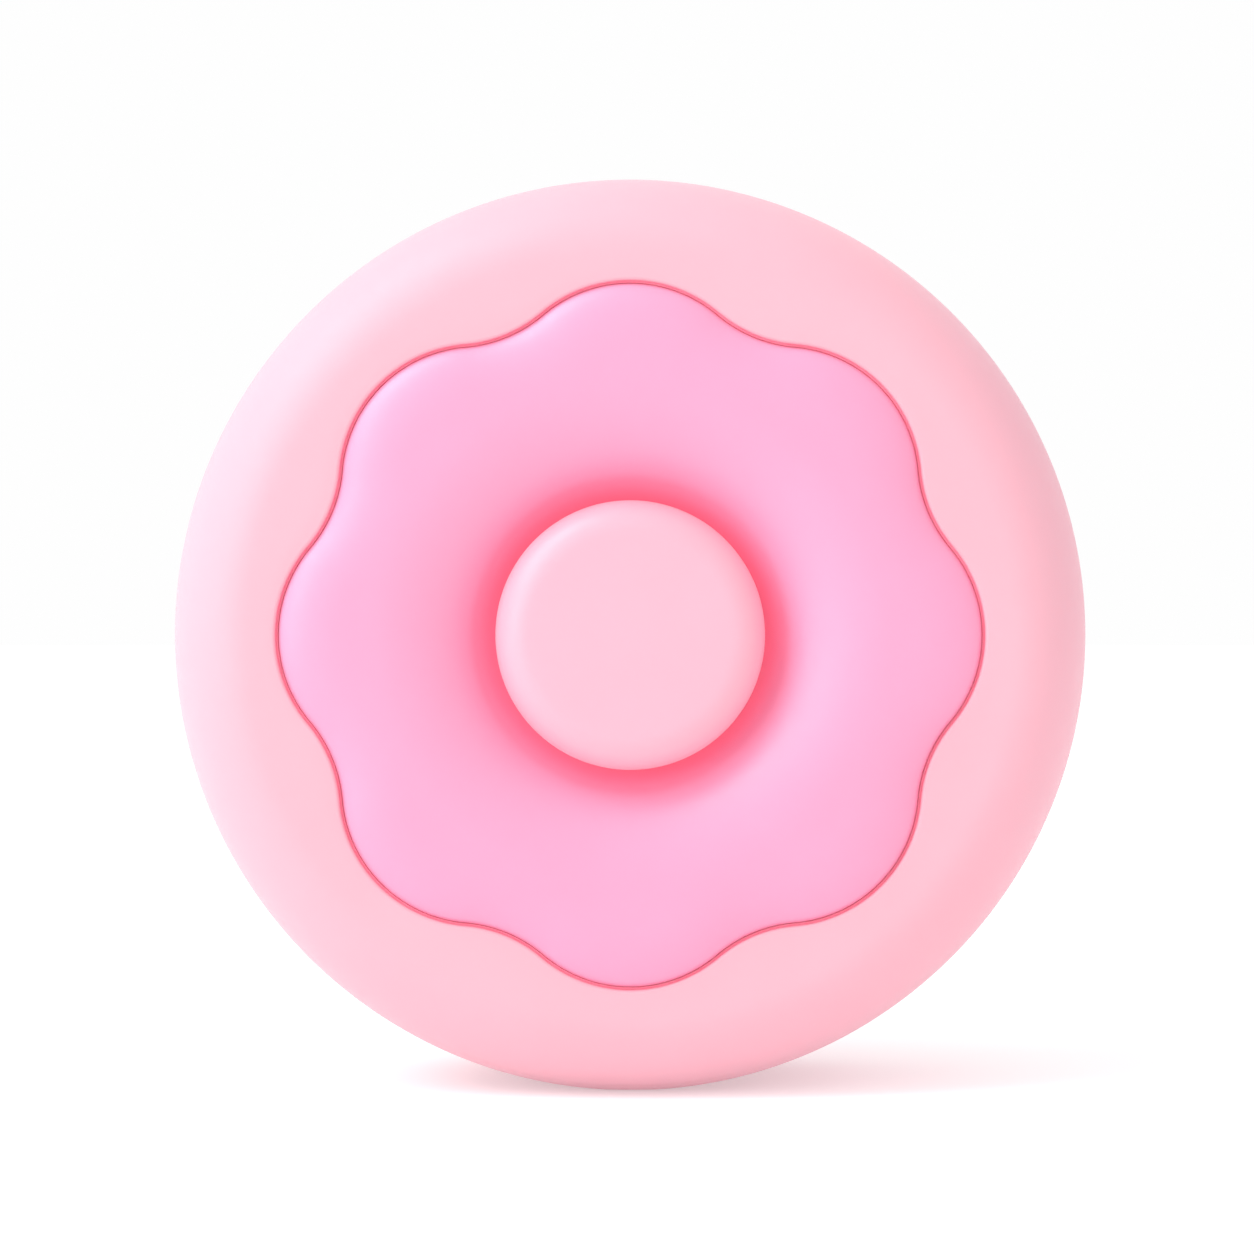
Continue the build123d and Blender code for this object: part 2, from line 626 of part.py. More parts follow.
def board_parts(name, height, sizes):
    """Plain chips standing on the front of the board: (right, up, width, depth) each."""
    with BuildPart() as group:
        with BuildSketch(FACE.offset(BOARD_H[1])):
            for right, up, wide, deep in sizes:
                with Locations((right, up)):
                    Rectangle(wide, deep)
        extrude(amount=height)
    finish(group.part, name)


board_parts("microcontroller", 0.9, [(-10, -8, 5, 5)])
board_parts("charge_chip", 0.8, [(10, -9, 3, 3)])
board_parts("motor_driver_chip", 1.0, [(-10, 8, 3, 3)])
board_parts(
    "small_board_parts",
    0.6,
    [(x, z, 1.6, 0.8) for x in (-3, 0, 3) for z in (-15, -12)] + [(10, z, 1.6, 0.8) for z in (-5, -3, 7)],
)


with BuildPart() as battery_connector:
    centre, size = box_from(*CONNECTOR, (CONNECTOR_H, BOARD_H[0]))
    with Locations(centre):
        Box(*size)
    centre, size = box_from(
        (CONNECTOR[0][0] + 0.6, CONNECTOR[0][1] - 0.6), (-4.8, -2.8), (CONNECTOR_H + 0.5, BOARD_H[0] - 0.6)
    )
    with Locations(centre):
        Box(*size, mode=Mode.SUBTRACT)
finish(battery_connector.part, "battery_connector")

# =========================================================================== battery

with BuildPart() as battery_cell:
    centre, size = box_from(BATTERY_X, BATTERY_Z, BATTERY_H)
    with Locations(centre):
        Box(*size)
    fillet(edges().filter_by(Axis.X), 2.0)
finish(battery_cell.part, "battery_cell")

with BuildPart() as battery_pad:
    centre, size = box_from(
        (BATTERY_X[0] + 2, BATTERY_X[1] - 2),
        (BATTERY_Z[0] + 2.2, BATTERY_Z[1] - 2.2),
        (INNER_REAR_H + 0.03, BATTERY_H[0] - 0.03),
    )
    with Locations(centre):
        Box(*size)
finish(battery_pad.part, "battery_pad")

# ===================================================================== vibration motor


def on_motor(x, profile, length, *, cut=False):
    """Extrudes what profile draws on the motor's plane, from x along the shaft."""
    with BuildSketch(MOTOR.offset(x)) as shape:
        profile()
    extrude(shape.sketch, amount=length, mode=Mode.SUBTRACT if cut else Mode.ADD)


def ring(outer, inner):
    def profile():
        Circle(outer)
        Circle(inner, mode=Mode.SUBTRACT)

    return profile


def disc(radius):
    return lambda: Circle(radius)


BORE = SHAFT_R + 0.02

with BuildPart() as motor_can:
    on_motor(CAN_SPAN[0], disc(CAN_R), CAN_SPAN[1] - CAN_SPAN[0])
    on_motor(CAN_SPAN[0], disc(CAN_R - 0.4), CAN_SPAN[1] - CAN_SPAN[0] - 0.5, cut=True)
    on_motor(CAN_SPAN[1] - 1, disc(BUSH_R + 0.01), 2, cut=True)
finish(motor_can.part, "motor_can")

with BuildPart() as motor_bushes:
    on_motor(CAN_SPAN[1] - 1.0, ring(BUSH_R, BORE), 1.8)
    on_motor(CAN_SPAN[0] - CAP_T + 0.2, ring(BUSH_R, BORE), 1.2)
finish(motor_bushes.part, "motor_bushes")

with BuildPart() as motor_end_cap:
    on_motor(CAN_SPAN[0] - CAP_T, ring(CAN_R - 0.02, BUSH_R + 0.01), CAP_T - 0.01)

    def terminal_slots():
        with Locations((0, 2.4), (0, -2.4)):
            Rectangle(1.44, 0.44)

    on_motor(CAN_SPAN[0] - CAP_T, terminal_slots, CAP_T, cut=True)
finish(motor_end_cap.part, "motor_end_cap")

with BuildPart() as motor_terminals:

    def tabs():
        with Locations((0, 2.4), (0, -2.4)):
            Rectangle(1.4, 0.4)

    def arms():
        with Locations((0, 1.9), (0, -1.9)):
            Rectangle(1.4, 1.2)

    on_motor(CAN_SPAN[0] - CAP_T - 0.9, tabs, 4.2)
    on_motor(CAN_SPAN[0] + 0.9, arms, 0.8)
finish(motor_terminals.part, "motor_terminals")

with BuildPart() as motor_magnets:
    on_motor(CORE_X[0] - 0.5, ring(CAN_R - 0.42, 3.1), 10.0)
    on_motor(CORE_X[0] - 0.5, lambda: Rectangle(3.0, 10.0), 10.0, cut=True)
finish(motor_magnets.part, "motor_magnets")


def slots(width, low, high):
    def profile():
        with PolarLocations((low + high) / 2, 3):
            Rectangle(high - low, width)

    return profile


with BuildPart() as rotor_core:
    on_motor(CORE_X[0], ring(2.8, SHAFT_R + 0.01), CORE_X[1] - CORE_X[0])
    on_motor(CORE_X[0], slots(0.9, 1.7, 3.0), CORE_X[1] - CORE_X[0], cut=True)
finish(rotor_core.part, "rotor_core")

with BuildPart() as rotor_windings:
    on_motor(CORE_X[0] - 1.9, ring(2.5, 1.3), 1.88)
    on_motor(CORE_X[1] + 0.02, ring(2.5, 1.3), 1.6)
    on_motor(CORE_X[0] - 0.5, slots(0.84, 1.74, 2.5), CORE_X[1] - CORE_X[0] + 1.0)
finish(rotor_windings.part, "rotor_windings")

with BuildPart() as commutator:
    on_motor(CAN_SPAN[0] + 0.5, ring(1.22, SHAFT_R + 0.01), 2.5)
finish(commutator.part, "commutator")

with BuildPart() as motor_shaft:
    on_motor(CAN_SPAN[0] - CAP_T + 0.1, disc(SHAFT_R), 29.0)
finish(motor_shaft.part, "motor_shaft")


def half_disc():
    Circle(4.0)
    with Locations((2.4, 0)):
        Rectangle(3.2, 10, mode=Mode.SUBTRACT)
    Circle(1.6)
    Circle(SHAFT_R + 0.01, mode=Mode.SUBTRACT)


with BuildPart() as eccentric_weight:
    on_motor(10.0, half_disc, 6.0)
finish(eccentric_weight.part, "eccentric_weight")

with BuildPart() as motor_sleeve:
    on_motor(CAN_SPAN[0] + 2.0, ring(CRADLE - 0.08, CAN_R + 0.02), 14.5)
finish(motor_sleeve.part, "motor_sleeve")


def strap_shape():
    Circle(CRADLE + STRAP_T)
    with Locations((0, 0)):
        Rectangle(2 * STRAP_SCREW_REACH + 3.6, STRAP_T, align=(Align.CENTER, Align.MIN))
    Circle(CRADLE, mode=Mode.SUBTRACT)
    Rectangle(30, 30, align=(Align.CENTER, Align.MAX), mode=Mode.SUBTRACT)


with BuildPart() as motor_strap:
    on_motor(-2.0, strap_shape, 4.0)
    with BuildSketch(FACE.offset(MOTOR_H)):
        with Locations(*strap_posts):
            Circle(0.85)
    extrude(amount=2, mode=Mode.SUBTRACT)
finish(motor_strap.part, "motor_strap")

# Heads on the board side, so the screws point the other way.
AWAY = Plane(origin=at(0, 0, MOTOR_H + STRAP_T + 0.02), x_dir=(-1, 0, 0), z_dir=(0, 1, 0))
screws([(-x, z) for x, z in strap_posts], AWAY, 1.5, 0.9, 0.76, 4.0, "strap_screws")

# ============================================================================= wires


def wires(name, routes):
    """Round wires through the points given, with rounded corners."""
    with BuildPart() as group:
        for route in routes:
            with BuildLine():
                path = FilletPolyline(*[at(*point) for point in route], radius=0.9)
            with BuildSketch(Plane(origin=path @ 0, z_dir=path % 0)):
                Circle(WIRE_R)
            sweep(path=path)
    finish(group.part, name)


TAB_X = CAN_SPAN[0] - CAP_T - 0.9 - WIRE_R - 0.05
LEAD_BOARD_H = BOARD_H[0] - 0.02


def motor_lead(bend, up, h):
    """From a terminal of the motor, out to the right measure bend, and on to the board."""
    return [(TAB_X + 0.5, up, h), (bend, up, h), (bend, up, LEAD_BOARD_H)]


wires(
    "motor_leads",
    [
        motor_lead(-16.4, MOTOR_UP + 2.6, MOTOR_H + 2.4),
        motor_lead(-15.2, MOTOR_UP - 3.2, MOTOR_H - 2.4),
    ],
)
LEAD_H = (BATTERY_H[0] + BATTERY_H[1]) / 2
CLIP_H = (CONNECTOR_H + BOARD_H[0]) / 2
CLIP_UP = CONNECTOR[1][1] - 1.9
wires(
    "battery_leads",
    [
        [(x, BATTERY_Z[1] + 0.02, LEAD_H), (x, 1.4, LEAD_H), (x, 1.4, CLIP_H), (x, CLIP_UP, CLIP_H)]
        for x in (-12.6, -11.0)
    ],
)
PIN_FOOT = FLANGE_UP[0] - 1.12
PIN_H = -CONTACT_MID[1]
wires(
    "charge_leads",
    [[(x, PIN_FOOT, PIN_H), (x, 20.6, PIN_H), (x, 20.6, LEAD_BOARD_H)] for x in (-PIN_X, PIN_X)],
)
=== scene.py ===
"""Looks of a doughnut-shaped silicone facial cleansing brush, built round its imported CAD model.

Lengths are metres, in the frame of the CAD model. The brush stands on its rim with its axis
along Y. Three measures place everything, from the middle of the puck: right along +X, up along
+Z, and h towards the control face, along -Y.
"""

import math
from math import cos, pi, radians, sin, sqrt

import bmesh
import bpy
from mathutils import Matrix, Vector


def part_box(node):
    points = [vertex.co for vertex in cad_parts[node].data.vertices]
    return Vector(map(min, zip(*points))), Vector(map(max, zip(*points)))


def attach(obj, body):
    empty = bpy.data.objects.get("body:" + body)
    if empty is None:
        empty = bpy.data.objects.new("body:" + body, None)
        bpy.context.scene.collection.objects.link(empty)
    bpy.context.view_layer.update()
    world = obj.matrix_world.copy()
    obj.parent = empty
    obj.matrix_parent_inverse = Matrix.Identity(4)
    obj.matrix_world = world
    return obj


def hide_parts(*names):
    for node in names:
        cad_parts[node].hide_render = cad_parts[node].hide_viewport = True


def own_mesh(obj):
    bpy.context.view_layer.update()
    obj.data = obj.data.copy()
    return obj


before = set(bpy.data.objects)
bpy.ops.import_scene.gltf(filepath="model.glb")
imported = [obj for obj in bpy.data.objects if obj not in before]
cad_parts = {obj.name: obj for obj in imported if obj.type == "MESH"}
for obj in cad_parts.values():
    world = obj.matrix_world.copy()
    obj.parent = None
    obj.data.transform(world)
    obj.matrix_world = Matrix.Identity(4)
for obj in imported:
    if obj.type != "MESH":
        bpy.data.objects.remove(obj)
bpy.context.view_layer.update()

bl_info = {
    "name": "Facial cleansing brush",
    "version": (1, 0, 0),
    "blender": (4, 5, 0),
    "location": "3D View > Sidebar > Brush",
    "description": "Builds the skin, button, bristles and studio of a facial cleansing brush",
    "category": "Add Mesh",
}

MM = 0.001
SKIN_THICK = 2.0 * MM
CAD_SEAM_HALF = 0.2 * MM  # the CAD panel stops this far inside the middle of the seam
CAP_TALL = 8.8 * MM  # from the top of the button to the foot of its skirt

# ------------------------------------------------------------------ places from the frame

SKIN_LOW, SKIN_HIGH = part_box("silicone_sleeve")
ICING_LOW, ICING_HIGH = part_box("icing_panel")
CAP_LOW, CAP_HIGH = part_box("button_cap")
PAD_LOW, PAD_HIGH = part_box("brush_pad")
SEAT_LOW, SEAT_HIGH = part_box("contact_insert")

BODY_R = (SKIN_HIGH.x - SKIN_LOW.x) / 2
MID_Z = SKIN_HIGH.z - BODY_R
LOBE_TIP_R = (ICING_HIGH.x - ICING_LOW.x) / 2 + CAD_SEAM_HALF
FRONT_H = -SKIN_LOW.y
REAR_H = -SKIN_HIGH.y
CREST_H = -ICING_LOW.y
ICING_BASE_H = FRONT_H - SKIN_THICK
WELL_FLOOR_H = -ICING_HIGH.y
BUTTON_R = (CAP_HIGH.x - CAP_LOW.x) / 2
BUTTON_TOP_H = -CAP_LOW.y
BUTTON_BOTTOM_H = BUTTON_TOP_H - CAP_TALL
PAD_R = (PAD_HIGH.x - PAD_LOW.x) / 2
BRISTLE_TIP_H = -PAD_HIGH.y
SEAT_MID_Y = (SEAT_LOW.y + SEAT_HIGH.y) / 2
SEAT_TOP_Z = SEAT_HIGH.z

# --------------------------------------------------------------------------------- values

AROUND = 480  # segments round the puck
GROOVE_LIP = 0.06 * MM  # how far the corners of the seam's floor are cut off
WELL_WIDE_BEND = 0.82  # share of the bends' radii that the convex bend into the well has
WELL_WIDE_STEPS = 0.6  # share of the well's loops that lie on the convex bend
WELL_SHADE_END = 13.4 * MM  # how far out the painted shade round the button reaches
BRISTLE_SUNK = 0.1 * MM  # how deep the bristles start inside the pad
BRISTLE_FIRST = 3.85  # radius of the first ring of bristles, in pitches of the nubs
BRISTLE_RINGS = 7
SLOT_LONG, SLOT_TALL = 14.4 * MM, 5.8 * MM  # the charging slot, along X and along Y
SLOT_BELOW, SLOT_ABOVE = 6 * MM, 4 * MM  # how far its cutter reaches from the seat's top

AIR_GREY, AIR_STRENGTH = 0.992, 1.0  # even light from all round
FLOOR_GLOW = 0.33  # the floor is a lit sheet, so shadows on it stay faint
KEY_PLACE, KEY_SIZE, KEY_POWER = (-0.64, -0.30, 0.82), 0.7, 7.4
SIDE_PLACE, SIDE_SIZE, SIDE_POWER = (-0.75, -0.62, 0.24), 0.5, 2.1
CAMERA_PLACE, CAMERA_LENS, CAMERA_SENSOR = (-0.00026, -0.26, 0.03845), 87.07, 36.0


# ------------------------------------------------------------------------------ settings


def length(name, text, default):
    return bpy.props.FloatProperty(
        name=name, description=text, default=default, unit="LENGTH", precision=5, step=0.01
    )


def colour(name, text, default):
    return bpy.props.FloatVectorProperty(
        name=name, description=text, default=default, subtype="COLOR", size=3, min=0, max=1
    )


class BrushSizes(bpy.types.PropertyGroup):
    """Sizes that shape the visible silicone pieces."""

    lobes: bpy.props.IntProperty(
        name="Lobes", description="Scallops round the icing panel", default=8, min=3, max=16
    )
    valley_radius: length("Valley radius", "Seam radius between two lobes", 26.2 * MM)
    lobe_arc: length("Lobe arc", "Radius of each lobe's own arc", 11.0 * MM)
    rim_half: length("Rim half width", "Half the width of the band round the rim", 6.0 * MM)
    round_reach: length("Rounding", "Radial reach of the big roundings of the ring", 7.0 * MM)
    skin: length("Skin", "Thickness of the silicone", SKIN_THICK)
    icing_round: length("Icing edge", "Width of the rounding along the scalloped edge", 5.2 * MM)
    icing_drop: length("Icing edge drop", "How far the rounding falls towards the seam", 1.85 * MM)
    crest_radius: length("Crest radius", "Where the icing turns down into the well", 20.8 * MM)
    well_radius: length("Well radius", "Inner edge of the icing panel", 11.0 * MM)
    well_edge: length("Well edge height", "Height where the slope of the well ends", 11.8 * MM)
    seam_width: length("Seam width", "Width of the groove round the icing panel", 0.22 * MM)
    seam_depth: length("Seam depth", "Depth of the groove round the icing panel", 0.3 * MM)
    button_round: length("Button edge", "Rounding of the push button", 2.8 * MM)
    nub_radius: length("Nub radius", "Radius of a massage nub at its root", 1.0 * MM)
    nub_length: length("Nub length", "Height of a massage nub", 2.5 * MM)
    nub_pitch: length("Nub pitch", "Distance between rings of nubs", 3.2 * MM)
    bristle_root: length("Bristle root", "Radius of a bristle at its root", 0.6 * MM)
    bristle_tip: length("Bristle tip", "Radius of a bristle at its tip", 0.4 * MM)
    bristle_pitch: length("Bristle pitch", "Distance between rings of bristles", 2.15 * MM)


class BrushColours(bpy.types.PropertyGroup):
    """Colours of the visible pieces."""

    skin: colour("Ring", "Silicone of the ring", (0.785, 0.397, 0.468))
    icing: colour("Icing", "Silicone of the scalloped panel", (0.90, 0.30, 0.472))
    # The well tint is painted shade: a darker, redder pink standing in for the shade round the
    # button.
    well: colour("Well", "Icing panel deep in the well", (1.0, 0.125, 0.235))
    # The seam tint is painted shade: a darker, redder pink deep in the groove round the icing
    # panel.
    seam: colour("Seam", "Ring deep in the seam", (1.0, 0.30, 0.42))
    button: colour("Button", "Push button", (0.83, 0.388, 0.478))
    bristles: colour("Bristles", "Silicone of the bristle pad", (0.86, 0.46, 0.56))
    floor: colour("Floor", "Studio floor", (0.74, 0.74, 0.74))


# ------------------------------------------------------------------------ shared geometry


def flower_radius(angle, grow):
    """Radius of the scalloped outline at an angle, widened by grow.

    The arcs of the lobes and the valleys are tangent where they meet."""
    sizes = bpy.context.scene.brush_sizes
    half = pi / sizes.lobes
    lobe_arc, valley = sizes.lobe_arc, sizes.valley_radius
    lobe_c = LOBE_TIP_R - lobe_arc
    spread = 2 * lobe_c * cos(half)
    valley_arc = (lobe_arc**2 - lobe_c**2 - valley**2 + spread * valley) / (
        2 * valley - spread - 2 * lobe_arc
    )
    valley_c = valley + valley_arc
    # The arcs meet on the line between their centres.
    share = (lobe_arc + grow) / (lobe_arc + valley_arc)
    join_x = lobe_c + (valley_c * cos(half) - lobe_c) * share
    join_angle = math.atan2(valley_c * sin(half) * share, join_x)
    turn = abs((angle + half) % (2 * half) - half)
    if turn <= join_angle:
        return lobe_c * cos(turn) + sqrt((lobe_arc + grow) ** 2 - (lobe_c * sin(turn)) ** 2)
    rest = half - turn
    return valley_c * cos(rest) - sqrt((valley_arc - grow) ** 2 - (valley_c * sin(rest)) ** 2)


def at(radius, angle, h):
    return Vector((radius * cos(angle), -h, MID_Z + radius * sin(angle)))


def angle_of(co):
    return math.atan2(co.z - MID_Z, co.x)


def circle(radius, h):
    """Places a loop on a circle."""
    return lambda angle: at(radius, angle, h)


def flower(grow, h):
    """Places a loop on the scalloped outline, widened by grow."""
    return lambda angle: at(flower_radius(angle, grow), angle, h)


def between(grow, radius, share, h):
    """Places a loop part way from the scalloped outline, at share 0, to a circle, at share 1."""

    def place(angle):
        start = flower_radius(angle, grow)
        return at(start + (radius - start) * share, angle, h)

    return place


def shares(count):
    """0 to 1 in count equal steps, with both ends."""
    return [step / count for step in range(count + 1)]


def quarter(count):
    """0 to a quarter turn in count equal steps, with both ends."""
    return [step * pi / (2 * count) for step in range(count + 1)]


def edges_of(verts):
    """The edges at some vertices, each once, in a fixed order."""
    return list(dict.fromkeys(edge for vert in verts for edge in vert.link_edges))


def start_loop(bm, place):
    """A closed loop round the puck's axis, each point put by place(angle). Returns its edges."""
    made = bmesh.ops.create_circle(bm, segments=AROUND, radius=BODY_R, cap_ends=False)
    for vert in made["verts"]:
        vert.co = place(math.atan2(vert.co.y, vert.co.x))
    return edges_of(made["verts"])


def next_loop(bm, edges, place):
    """Extrudes a loop and puts its new points by place(angle). Returns the new edges."""
    grown = bmesh.ops.extrude_edge_only(bm, edges=edges)["geom"]
    for vert in grown:
        if isinstance(vert, bmesh.types.BMVert):
            vert.co = place(angle_of(vert.co))
    return [edge for edge in grown if isinstance(edge, bmesh.types.BMEdge)]


def loops(bm, places):
    """A closed skin over loops, one for each place in places. The last one joins the first."""
    first = start_loop(bm, places[0])
    edges = first
    for place in places[1:]:
        edges = next_loop(bm, edges, place)
    bmesh.ops.bridge_loops(bm, edges=first + edges)


def add_piece(name, bm, body, node, material, crease=35):
    """Turns a bmesh into a piece that rides on a CAD body and stands for a CAD node."""
    bmesh.ops.recalc_face_normals(bm, faces=bm.faces)
    for face in bm.faces:
        face.smooth = True
    for edge in bm.edges:
        if edge.is_manifold and edge.calc_face_angle() > radians(crease):
            edge.smooth = False
    mesh = bpy.data.meshes.new(name)
    bm.to_mesh(mesh)
    bm.free()
    piece = bpy.data.objects.new(name, mesh)
    bpy.context.scene.collection.objects.link(piece)
    mesh.materials.append(material)
    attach(piece, body)
    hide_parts(node)
    return piece


# ----------------------------------------------------------------------------- materials


class Nodes:
    """Builds one node material from short calls."""

    def __init__(self, name):
        self.material = bpy.data.materials.get(name) or bpy.data.materials.new(name)
        self.material.use_nodes = True
        self.tree = self.material.node_tree
        self.tree.nodes.clear()
        self.shader = self.add("ShaderNodeBsdfPrincipled")
        output = self.add("ShaderNodeOutputMaterial")
        self.join(self.shader.outputs["BSDF"], output.inputs["Surface"])
        self.place = self.add("ShaderNodeTexCoord").outputs["Object"]

    def add(self, kind, **settings):
        node = self.tree.nodes.new(kind)
        for key, value in settings.items():
            setattr(node, key, value)
        return node

    def join(self, out, into):
        self.tree.links.new(out, into)

    def noise(self, scale, detail=2.0, roughness=0.5):
        node = self.add("ShaderNodeTexNoise")
        node.inputs["Scale"].default_value = scale
        node.inputs["Detail"].default_value = detail
        node.inputs["Roughness"].default_value = roughness
        self.join(self.place, node.inputs["Vector"])
        return node.outputs["Fac"]

    def radius(self):
        """Distance from the puck's axis."""
        split = self.add("ShaderNodeMapping", vector_type="POINT")
        split.inputs["Location"].default_value = (0, 0, -MID_Z)
        split.inputs["Scale"].default_value = (1, 0, 1)
        self.join(self.place, split.inputs["Vector"])
        length_of = self.add("ShaderNodeVectorMath", operation="LENGTH")
        self.join(split.outputs["Vector"], length_of.inputs[0])
        return length_of.outputs["Value"]

    def spread(self, value, low, high, to_low, to_high, smooth=False):
        node = self.add("ShaderNodeMapRange")
        node.interpolation_type = "SMOOTHSTEP" if smooth else "LINEAR"
        ends = {"From Min": low, "From Max": high, "To Min": to_low, "To Max": to_high}
        for key, number in ends.items():
            node.inputs[key].default_value = number
        self.join(value, node.inputs["Value"])
        return node.outputs["Result"]

    def product(self, first, second):
        node = self.add("ShaderNodeMath", operation="MULTIPLY")
        self.join(first, node.inputs[0])
        self.join(second, node.inputs[1])
        return node.outputs["Value"]

    def mix(self, share, first, second):
        node = self.add("ShaderNodeMix", data_type="RGBA")
        self.join(share, node.inputs["Factor"])
        for key, value in (("A", first), ("B", second)):
            socket = [s for s in node.inputs if s.name == key and s.type == "RGBA"][0]
            if isinstance(value, tuple):
                socket.default_value = (*value, 1)
            else:
                self.join(value, socket)
        return [s for s in node.outputs if s.type == "RGBA"][0]

    def bump(self, height, distance, strength, below=None):
        node = self.add("ShaderNodeBump")
        node.inputs["Strength"].default_value = strength
        node.inputs["Distance"].default_value = distance
        self.join(height, node.inputs["Height"])
        if below is not None:
            self.join(below, node.inputs["Normal"])
        return node.outputs["Normal"]

    def surface(self, tint, rough=None, normal=None):
        """Joins the shader's colour, roughness and normal."""
        for key, out in (("Base Color", tint), ("Roughness", rough), ("Normal", normal)):
            if out is not None:
                self.join(out, self.shader.inputs[key])

    def set(self, **values):
        for key, value in values.items():
            self.shader.inputs[key.replace("_", " ")].default_value = value


def shade(tint, share):
    return tuple(min(1.0, part * share) for part in tint)


def silicone(name, tint, well_shade=None, seam=None, grain=1.0, rough=(0.38, 0.46), gloss=0.7):
    """Soft moulded silicone: fine matt grain, slow mottling of the pigment, a little light inside.

    centre is (tint, near, far): painted shade round the button; the colour is that tint out to
    the radius near, and fades to the piece's own by far.
    seam is (tint, radius, high, low): painted shade in the seam's groove; inside that radius the
    colour turns to that tint from the height high down to low, and back again 2 to 3 mm under low."""
    nodes = Nodes(name)
    mottle = nodes.spread(nodes.noise(55.0, 3.0, 0.55), 0.35, 0.65, 0.0, 1.0)
    base = nodes.mix(mottle, shade(tint, 0.985), shade(tint, 1.015))
    if well_shade:
        well_shade_tint, near, far = well_shade
        # Painted shade: towards the axis the colour turns darker and redder, as shade round the
        # button.
        share = nodes.spread(nodes.radius(), near, far, 1.0, 0.0, smooth=True)
        base = nodes.mix(share, base, well_shade_tint)
    # Painted shade deep in the groove of the seam.
    if seam:
        groove_shade_tint, edge_r, high, low = seam
        parts = nodes.add("ShaderNodeSeparateXYZ")
        nodes.join(nodes.place, parts.inputs["Vector"])
        inside = nodes.spread(nodes.radius(), edge_r, edge_r + 0.1 * MM, 1.0, 0.0)
        below = nodes.spread(parts.outputs["Y"], -high, -low, 0.0, 1.0)
        above = nodes.spread(parts.outputs["Y"], -low + 2 * MM, -low + 3 * MM, 1.0, 0.0)
        base = nodes.mix(nodes.product(nodes.product(inside, below), above), base, groove_shade_tint)
    fine = nodes.noise(9000.0, 2.0, 0.6)
    dull = nodes.spread(nodes.noise(700.0), 0.3, 0.7, *rough)
    soft = nodes.bump(nodes.noise(260.0, 2.0), 0.00005, 0.12 * grain)
    nodes.surface(base, dull, nodes.bump(fine, 0.00002, 0.25 * grain, soft))
    nodes.set(
        Subsurface_Weight=0.12,
        Subsurface_Scale=0.0015,
        Subsurface_Radius=(1.0, 0.45, 0.5),
        Specular_IOR_Level=gloss,
        Sheen_Weight=0.12,
        Sheen_Roughness=0.5,
        IOR=1.41,
    )
    return nodes.material


def moulded_plastic(name, tint, rough=0.4, grain=2500.0, depth=0.1):
    """Injection moulded plastic: spark-eroded grain, faint flow marks in the colour."""
    nodes = Nodes(name)
    flow = nodes.spread(nodes.noise(90.0, 4.0), 0.3, 0.7, 0.0, 1.0)
    nodes.surface(
        nodes.mix(flow, shade(tint, 0.93), shade(tint, 1.04)),
        nodes.spread(nodes.noise(400.0), 0.3, 0.7, rough - 0.06, rough + 0.08),
        nodes.bump(nodes.noise(grain), 0.00003, depth),
    )
    return nodes.material


def machined_metal(name, tint, rough=0.3, stretch=(1.0, 1.0, 1.0)):
    """Turned or drawn metal: fine lines along stretch, uneven shine, faint stains."""
    nodes = Nodes(name)
    squeeze = nodes.add("ShaderNodeMapping", vector_type="POINT")
    squeeze.inputs["Scale"].default_value = stretch
    nodes.join(nodes.place, squeeze.inputs["Vector"])
    nodes.place = squeeze.outputs["Vector"]
    lines = nodes.noise(5000.0, 3.0)
    stain = nodes.spread(nodes.noise(300.0, 3.0), 0.35, 0.7, 0.0, 1.0)
    nodes.surface(
        nodes.mix(stain, shade(tint, 0.85), shade(tint, 1.05)),
        nodes.spread(lines, 0.3, 0.7, rough - 0.08, rough + 0.12),
        nodes.bump(lines, 0.00001, 0.15),
    )
    nodes.set(Metallic=1.0)
    return nodes.material


def soft_rubber(name, tint, rough=0.7, pores=1800.0):
    """Sealing rubber, foam and wire insulation: open pores and a dry surface."""
    nodes = Nodes(name)
    cell = nodes.noise(pores, 2.0, 0.7)
    nodes.surface(
        nodes.mix(nodes.spread(cell, 0.35, 0.65, 0.0, 1.0), shade(tint, 0.8), shade(tint, 1.1)),
        nodes.spread(cell, 0.3, 0.7, rough - 0.08, rough + 0.1),
        nodes.bump(cell, 0.00004, 0.3),
    )
    return nodes.material


def solder_mask(name):
    """Circuit board: green mask over a weave of glass, with lighter tracks."""
    nodes = Nodes(name)
    weave = nodes.add("ShaderNodeTexWave", wave_type="BANDS", bands_direction="X")
    weave.inputs["Scale"].default_value = 260.0
    weave.inputs["Distortion"].default_value = 1.5
    nodes.join(nodes.place, weave.inputs["Vector"])
    track = nodes.spread(weave.outputs["Fac"], 0.62, 0.7, 0.0, 1.0)
    nodes.surface(
        nodes.mix(track, (0.012, 0.11, 0.045), (0.03, 0.20, 0.08)),
        nodes.spread(nodes.noise(900.0), 0.3, 0.7, 0.22, 0.38),
        nodes.bump(track, 0.00002, 0.3),
    )
    return nodes.material


def wound_copper(name):
    """Enamelled copper wire, wound in fine turns."""
    nodes = Nodes(name)
    turns = nodes.add("ShaderNodeTexWave", wave_type="RINGS", rings_direction="X")
    turns.inputs["Scale"].default_value = 900.0
    nodes.join(nodes.place, turns.inputs["Vector"])
    turn = turns.outputs["Fac"]
    nodes.surface(
        nodes.mix(turn, (0.32, 0.09, 0.03), (0.75, 0.28, 0.12)),
        nodes.spread(turn, 0.0, 1.0, 0.42, 0.25),
        nodes.bump(turn, 0.00006, 0.5),
    )
    nodes.set(Metallic=0.8)
    return nodes.material


def coat_nodes(material, *names):
    """Gives carried-over CAD nodes their finish."""
    for name in names:
        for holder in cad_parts[name].material_slots:
            holder.material = material


# ----------------------------------------------------------------------------- operators


